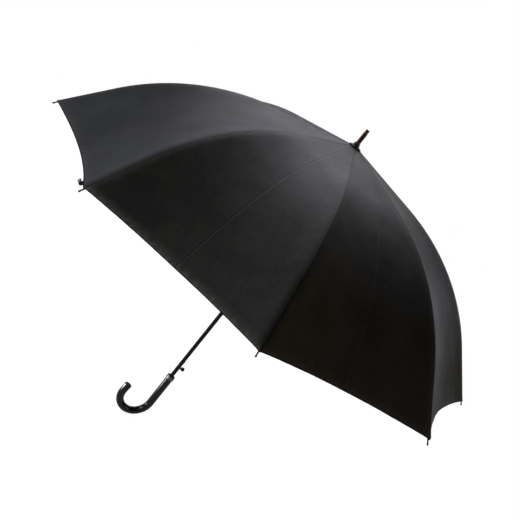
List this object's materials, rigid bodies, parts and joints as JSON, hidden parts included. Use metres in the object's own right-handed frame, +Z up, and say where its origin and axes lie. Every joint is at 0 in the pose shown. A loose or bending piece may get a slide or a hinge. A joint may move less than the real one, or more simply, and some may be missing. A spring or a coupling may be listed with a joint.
{
  "type": "stick umbrella",
  "caption": "Open automatic stick umbrella with a crook handle, sprung runner, ribs, stretchers and a fabric canopy that folds.",
  "frame": {"origin": "on the shaft axis at the top face of the handle collar", "axes": "+Z up the shaft towards the ferrule; +X towards the push button; the crook turns towards -X; both lie halfway between two ribs"},
  "size_m": [1.1194, 1.1194, 0.9032],
  "materials": {
    "black_steel": "gloss black stove enamel on steel tube",
    "handle_plastic": "high-gloss black lacquer",
    "pewter": "satin pewter plate",
    "black_plastic": "moulded, fine texture",
    "button_plastic": "semi-gloss moulded",
    "bright_steel": "bright nickel",
    "spring_steel": "drawn wire",
    "gunmetal": "dark bronze-tinted gunmetal plate",
    "rib_steel": "black-coated steel and fibreglass",
    "canopy_fabric": "black pongee, close plain weave with a soft sheen",
    "strap_fabric": "folded pongee, edge-stitched",
    "snap_metal": "nickel-plated press stud"
  },
  "bodies": {
    "shaft": {"shaft_tube": "black_steel", "crook_handle": "handle_plastic", "handle_collar": "pewter", "handle_plug": "black_plastic", "spring_seat": "black_plastic", "opening_spring": "spring_steel", "top_notch": "black_plastic", "notch_wire": "spring_steel", "rosette": "black_plastic", "crown_cap": "black_plastic", "ferrule": "gunmetal", "ferrule_tip": "gunmetal", "button_guide": "bright_steel", "catch_spring": "spring_steel"},
    "runner": {"runner_sleeve": "black_plastic", "drive_pin": "bright_steel"},
    "button": {"button_cap": "button_plastic", "button_stem": "bright_steel"},
    "strap": {"strap": "strap_fabric", "strap_snap": "snap_metal"},
    "rib_1": {"rib_inner_1": "rib_steel", "canopy_inner_1": "canopy_fabric"},
    "rib_end_1": {"rib_outer_1": "rib_steel", "canopy_outer_1": "canopy_fabric"},
    "stretcher_1": {"stretcher_1": "rib_steel"},
    "rib_2": {"rib_inner_2": "rib_steel", "canopy_inner_2": "canopy_fabric"},
    "rib_end_2": {"rib_outer_2": "rib_steel", "canopy_outer_2": "canopy_fabric"},
    "stretcher_2": {"stretcher_2": "rib_steel"},
    "rib_3": {"rib_inner_3": "rib_steel", "canopy_inner_3": "canopy_fabric"},
    "rib_end_3": {"rib_outer_3": "rib_steel", "canopy_outer_3": "canopy_fabric"},
    "stretcher_3": {"stretcher_3": "rib_steel"},
    "rib_4": {"rib_inner_4": "rib_steel", "canopy_inner_4": "canopy_fabric"},
    "rib_end_4": {"rib_outer_4": "rib_steel", "canopy_outer_4": "canopy_fabric"},
    "stretcher_4": {"stretcher_4": "rib_steel"},
    "rib_5": {"rib_inner_5": "rib_steel", "canopy_inner_5": "canopy_fabric"},
    "rib_end_5": {"rib_outer_5": "rib_steel", "canopy_outer_5": "canopy_fabric"},
    "stretcher_5": {"stretcher_5": "rib_steel"},
    "rib_6": {"rib_inner_6": "rib_steel", "canopy_inner_6": "canopy_fabric"},
    "rib_end_6": {"rib_outer_6": "rib_steel", "canopy_outer_6": "canopy_fabric"},
    "stretcher_6": {"stretcher_6": "rib_steel"},
    "rib_7": {"rib_inner_7": "rib_steel", "canopy_inner_7": "canopy_fabric"},
    "rib_end_7": {"rib_outer_7": "rib_steel", "canopy_outer_7": "canopy_fabric"},
    "stretcher_7": {"stretcher_7": "rib_steel"},
    "rib_8": {"rib_inner_8": "rib_steel", "canopy_inner_8": "canopy_fabric"},
    "rib_end_8": {"rib_outer_8": "rib_steel", "canopy_outer_8": "canopy_fabric"},
    "stretcher_8": {"stretcher_8": "rib_steel"}
  },
  "joints": [
    {"name": "runner_slide", "type": "slide", "parent": "shaft", "child": "runner", "axis": [0, 0, -1], "range_m": [0, 0.44416], "stiffness_N_per_m": 60, "springref_m": -0.4, "deforming": ["opening_spring", "canopy_inner_1", "canopy_outer_1", "canopy_inner_2", "canopy_outer_2", "canopy_inner_3", "canopy_outer_3", "canopy_inner_4", "canopy_outer_4", "canopy_inner_5", "canopy_outer_5", "canopy_inner_6", "canopy_outer_6", "canopy_inner_7", "canopy_outer_7", "canopy_inner_8", "canopy_outer_8"]},
    {"name": "button_press", "type": "slide", "parent": "shaft", "child": "button", "axis": [-1, 0, 0], "range_m": [0, 0.003], "stiffness_N_per_m": 400, "springref_m": -0.002, "deforming": ["catch_spring"]},
    {"name": "rib_hinge_1", "type": "hinge", "parent": "shaft", "child": "rib_1", "pos_m": [0.00878, -0.00364, 0.7085], "axis": [0.3827, 0.9239, 0], "range_deg": [0, 74.26]},
    {"name": "rib_flex_1", "type": "hinge", "parent": "rib_1", "child": "rib_end_1", "pos_m": [0.2745, -0.1137, 0.63985], "axis": [0.3827, 0.9239, 0], "range_deg": [-24.7, 0]},
    {"name": "stretcher_hinge_1", "type": "hinge", "parent": "rib_1", "child": "stretcher_1", "pos_m": [0.27289, -0.11304, 0.6357], "axis": [0.3827, 0.9239, 0], "range_deg": [-148.53, 0]},
    {"name": "rib_hinge_2", "type": "hinge", "parent": "shaft", "child": "rib_2", "pos_m": [0.00878, 0.00364, 0.7085], "axis": [-0.3827, 0.9239, 0], "range_deg": [0, 74.26]},
    {"name": "rib_flex_2", "type": "hinge", "parent": "rib_2", "child": "rib_end_2", "pos_m": [0.2745, 0.1137, 0.63985], "axis": [-0.3827, 0.9239, 0], "range_deg": [-24.7, 0]},
    {"name": "stretcher_hinge_2", "type": "hinge", "parent": "rib_2", "child": "stretcher_2", "pos_m": [0.27289, 0.11304, 0.6357], "axis": [-0.3827, 0.9239, 0], "range_deg": [-148.53, 0]},
    {"name": "rib_hinge_3", "type": "hinge", "parent": "shaft", "child": "rib_3", "pos_m": [0.00364, 0.00878, 0.7085], "axis": [-0.9239, 0.3827, 0], "range_deg": [0, 74.26]},
    {"name": "rib_flex_3", "type": "hinge", "parent": "rib_3", "child": "rib_end_3", "pos_m": [0.1137, 0.2745, 0.63985], "axis": [-0.9239, 0.3827, 0], "range_deg": [-24.7, 0]},
    {"name": "stretcher_hinge_3", "type": "hinge", "parent": "rib_3", "child": "stretcher_3", "pos_m": [0.11304, 0.27289, 0.6357], "axis": [-0.9239, 0.3827, 0], "range_deg": [-148.53, 0]},
    {"name": "rib_hinge_4", "type": "hinge", "parent": "shaft", "child": "rib_4", "pos_m": [-0.00364, 0.00878, 0.7085], "axis": [-0.9239, -0.3827, 0], "range_deg": [0, 74.26]},
    {"name": "rib_flex_4", "type": "hinge", "parent": "rib_4", "child": "rib_end_4", "pos_m": [-0.1137, 0.2745, 0.63985], "axis": [-0.9239, -0.3827, 0], "range_deg": [-24.7, 0]},
    {"name": "stretcher_hinge_4", "type": "hinge", "parent": "rib_4", "child": "stretcher_4", "pos_m": [-0.11304, 0.27289, 0.6357], "axis": [-0.9239, -0.3827, 0], "range_deg": [-148.53, 0]},
    {"name": "rib_hinge_5", "type": "hinge", "parent": "shaft", "child": "rib_5", "pos_m": [-0.00878, 0.00364, 0.7085], "axis": [-0.3827, -0.9239, 0], "range_deg": [0, 74.26]},
    {"name": "rib_flex_5", "type": "hinge", "parent": "rib_5", "child": "rib_end_5", "pos_m": [-0.2745, 0.1137, 0.63985], "axis": [-0.3827, -0.9239, 0], "range_deg": [-24.7, 0]},
    {"name": "stretcher_hinge_5", "type": "hinge", "parent": "rib_5", "child": "stretcher_5", "pos_m": [-0.27289, 0.11304, 0.6357], "axis": [-0.3827, -0.9239, 0], "range_deg": [-148.53, 0]},
    {"name": "rib_hinge_6", "type": "hinge", "parent": "shaft", "child": "rib_6", "pos_m": [-0.00878, -0.00364, 0.7085], "axis": [0.3827, -0.9239, 0], "range_deg": [0, 74.26]},
    {"name": "rib_flex_6", "type": "hinge", "parent": "rib_6", "child": "rib_end_6", "pos_m": [-0.2745, -0.1137, 0.63985], "axis": [0.3827, -0.9239, 0], "range_deg": [-24.7, 0]},
    {"name": "stretcher_hinge_6", "type": "hinge", "parent": "rib_6", "child": "stretcher_6", "pos_m": [-0.27289, -0.11304, 0.6357], "axis": [0.3827, -0.9239, 0], "range_deg": [-148.53, 0]},
    {"name": "rib_hinge_7", "type": "hinge", "parent": "shaft", "child": "rib_7", "pos_m": [-0.00364, -0.00878, 0.7085], "axis": [0.9239, -0.3827, 0], "range_deg": [0, 74.26]},
    {"name": "rib_flex_7", "type": "hinge", "parent": "rib_7", "child": "rib_end_7", "pos_m": [-0.1137, -0.2745, 0.63985], "axis": [0.9239, -0.3827, 0], "range_deg": [-24.7, 0]},
    {"name": "stretcher_hinge_7", "type": "hinge", "parent": "rib_7", "child": "stretcher_7", "pos_m": [-0.11304, -0.27289, 0.6357], "axis": [0.9239, -0.3827, 0], "range_deg": [-148.53, 0]},
    {"name": "rib_hinge_8", "type": "hinge", "parent": "shaft", "child": "rib_8", "pos_m": [0.00364, -0.00878, 0.7085], "axis": [0.9239, 0.3827, 0], "range_deg": [0, 74.26]},
    {"name": "rib_flex_8", "type": "hinge", "parent": "rib_8", "child": "rib_end_8", "pos_m": [0.1137, -0.2745, 0.63985], "axis": [0.9239, 0.3827, 0], "range_deg": [-24.7, 0]},
    {"name": "stretcher_hinge_8", "type": "hinge", "parent": "rib_8", "child": "stretcher_8", "pos_m": [0.11304, -0.27289, 0.6357], "axis": [0.9239, 0.3827, 0], "range_deg": [-148.53, 0]},
    {"name": "strap_swing", "type": "hinge", "parent": "rib_end_6", "child": "strap", "pos_m": [-0.55113, -0.19061, 0.38435], "axis": [0, 1, 0], "range_deg": [0, 12]}
  ],
  "couplings": [
    {"joint": "rib_hinge_1", "follows": "runner_slide", "rad_per_m": 2.9103},
    {"joint": "rib_flex_1", "follows": "runner_slide", "rad_per_m": -0.96273},
    {"joint": "stretcher_hinge_1", "follows": "runner_slide", "rad_per_m": -5.8206},
    {"joint": "rib_hinge_2", "follows": "runner_slide", "rad_per_m": 2.9103},
    {"joint": "rib_flex_2", "follows": "runner_slide", "rad_per_m": -0.96273},
    {"joint": "stretcher_hinge_2", "follows": "runner_slide", "rad_per_m": -5.8206},
    {"joint": "rib_hinge_3", "follows": "runner_slide", "rad_per_m": 2.9103},
    {"joint": "rib_flex_3", "follows": "runner_slide", "rad_per_m": -0.96273},
    {"joint": "stretcher_hinge_3", "follows": "runner_slide", "rad_per_m": -5.8206},
    {"joint": "rib_hinge_4", "follows": "runner_slide", "rad_per_m": 2.9103},
    {"joint": "rib_flex_4", "follows": "runner_slide", "rad_per_m": -0.96273},
    {"joint": "stretcher_hinge_4", "follows": "runner_slide", "rad_per_m": -5.8206},
    {"joint": "rib_hinge_5", "follows": "runner_slide", "rad_per_m": 2.9103},
    {"joint": "rib_flex_5", "follows": "runner_slide", "rad_per_m": -0.96273},
    {"joint": "stretcher_hinge_5", "follows": "runner_slide", "rad_per_m": -5.8206},
    {"joint": "rib_hinge_6", "follows": "runner_slide", "rad_per_m": 2.9103},
    {"joint": "rib_flex_6", "follows": "runner_slide", "rad_per_m": -0.96273},
    {"joint": "stretcher_hinge_6", "follows": "runner_slide", "rad_per_m": -5.8206},
    {"joint": "rib_hinge_7", "follows": "runner_slide", "rad_per_m": 2.9103},
    {"joint": "rib_flex_7", "follows": "runner_slide", "rad_per_m": -0.96273},
    {"joint": "stretcher_hinge_7", "follows": "runner_slide", "rad_per_m": -5.8206},
    {"joint": "rib_hinge_8", "follows": "runner_slide", "rad_per_m": 2.9103},
    {"joint": "rib_flex_8", "follows": "runner_slide", "rad_per_m": -0.96273},
    {"joint": "stretcher_hinge_8", "follows": "runner_slide", "rad_per_m": -5.8206}
  ]
}
